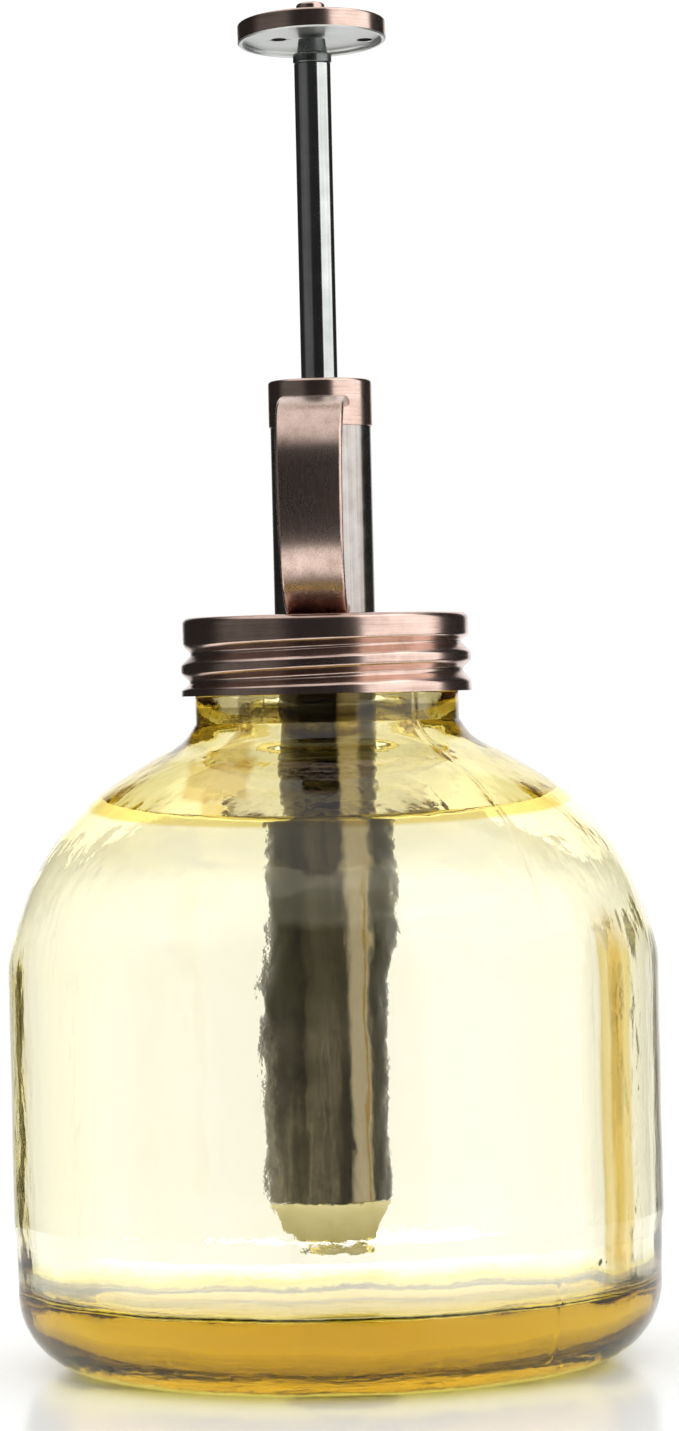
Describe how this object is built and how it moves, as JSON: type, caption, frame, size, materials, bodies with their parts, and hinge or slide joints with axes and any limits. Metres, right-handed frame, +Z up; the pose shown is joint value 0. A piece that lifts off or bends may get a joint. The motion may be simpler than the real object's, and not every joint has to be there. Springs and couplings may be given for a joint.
{
  "type": "glass plant mister",
  "caption": "Hand-pumped plant mister: faceted amber glass bottle with water, copper screw cap, sprung thumb plunger, finger handle and spray nozzle.",
  "frame": {"origin": "centre of the bottle's base, on the surface it stands on", "axes": "+Z up along the bottle and plunger, finger handle towards -Y, spray nozzle towards +Y"},
  "size_m": [0.0908, 0.091, 0.1887],
  "materials": {
    "amber_glass": "gloss",
    "water": "gloss",
    "antique_copper": "satin",
    "gunmetal": "polished",
    "steel": "satin",
    "white_plastic": "satin",
    "black_rubber": "matte",
    "turned_brass": "satin"
  },
  "bodies": {
    "bottle": {"bottle": "amber_glass", "water_fill": "water"},
    "gasket": {"cap_gasket": "black_rubber"},
    "head": {"cap_shell": "antique_copper", "cap_thread_liner": "white_plastic", "nut_washer": "black_rubber", "barrel_nut": "turned_brass", "pump_barrel": "antique_copper", "top_collar": "antique_copper", "guide_bush": "turned_brass", "rod_packing": "black_rubber", "finger_handle": "antique_copper", "nozzle_boss": "antique_copper", "swirl_insert": "turned_brass", "nozzle_cap": "antique_copper", "outer_tube": "gunmetal", "inner_cylinder": "steel", "cylinder_plug": "turned_brass", "foot_valve_body": "white_plastic", "inlet_seat": "white_plastic", "outlet_band": "black_rubber", "spring_seat": "steel", "return_spring": "steel"},
    "plunger": {"piston": "turned_brass", "piston_seal": "black_rubber", "plunger_rod": "gunmetal", "rod_ferrule": "gunmetal", "knob_hub": "gunmetal", "thumb_button": "antique_copper", "knob_rivet": "antique_copper"},
    "inlet_ball": {"inlet_ball": "steel"}
  },
  "joints": [
    {"name": "cap_rise", "type": "slide", "parent": "bottle", "child": "gasket", "axis": [0, 0, 1], "range_m": [0, 0.0065]},
    {"name": "cap_turn", "type": "hinge", "parent": "gasket", "child": "head", "pos_m": [0, 0, 0.1], "axis": [0, 0, 1], "range_deg": [0, 540]},
    {"name": "plunger_press", "type": "slide", "parent": "head", "child": "plunger", "axis": [0, 0, -1], "range_m": [0, 0.04], "stiffness_N_per_m": 150, "springref_m": -0.03, "deforming": ["return_spring"]},
    {"name": "inlet_lift", "type": "slide", "parent": "head", "child": "inlet_ball", "axis": [0, 0, 1], "range_m": [0, 0.0012]}
  ],
  "couplings": [
    {"joint": "cap_rise", "follows": "cap_turn", "m_per_rad": 0.0006737}
  ]
}
